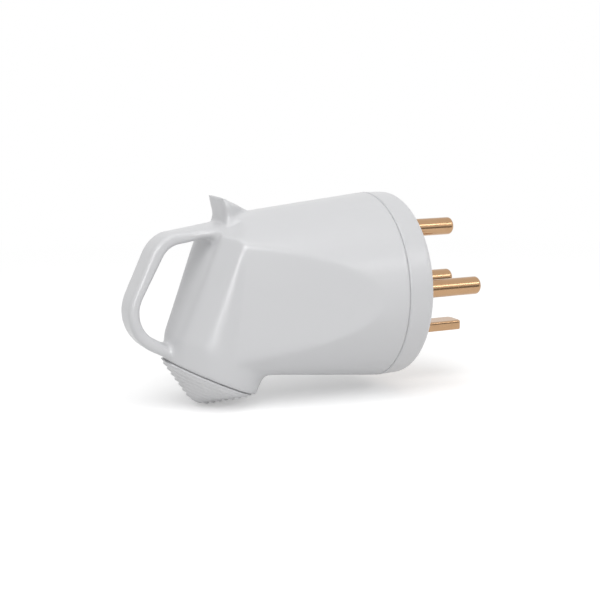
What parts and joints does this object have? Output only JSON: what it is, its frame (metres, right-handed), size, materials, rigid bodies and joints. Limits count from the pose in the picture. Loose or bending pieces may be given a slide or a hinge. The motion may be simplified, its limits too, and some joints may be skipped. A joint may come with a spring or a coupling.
{
  "type": "industrial plug",
  "caption": "Large angled-entry mains plug with round pins, a flat earth blade, a tapered grip housing, thumb fin, stepped cable grommet and rear finger loop.",
  "frame": {"origin": "centre of the carrier's front face, where the neutral pin leaves it", "axes": "+X along the pins into the socket, +Z towards the thumb fin, +Y to the left seen from behind the plug"},
  "size_m": [0.1223, 0.0624, 0.0683],
  "materials": {
    "housing_plastic": "smooth moulded pale grey, slightly glossy",
    "carrier_plastic": "smooth moulded pale grey, slightly glossy",
    "grommet_rubber": "soft grey rubber, satin",
    "pin_brass": "turned brass, warm tone, polished",
    "terminal_brass": "machined brass",
    "screw_steel": "zinc-plated steel",
    "inner_plastic": "dark matt moulding",
    "ring_rubber": "black rubber"
  },
  "bodies": {
    "root": {"rear_housing": "housing_plastic", "pin_carrier": "carrier_plastic", "cable_grommet": "grommet_rubber", "phase_pin_1": "pin_brass", "phase_pin_2": "pin_brass", "phase_pin_3": "pin_brass", "neutral_pin": "pin_brass", "earth_blade": "pin_brass", "earth_terminal": "terminal_brass", "earth_rivets": "terminal_brass", "threaded_inserts": "terminal_brass", "terminal_screws": "screw_steel", "wire_pressure_plates": "screw_steel", "retaining_plate_screws": "screw_steel", "carrier_fixing_screws": "screw_steel", "clamp_screws": "screw_steel", "pin_retaining_plate": "inner_plastic", "cable_clamp_base": "inner_plastic", "cable_clamp_saddle": "inner_plastic", "sealing_ring": "ring_rubber"}
  },
  "joints": []
}
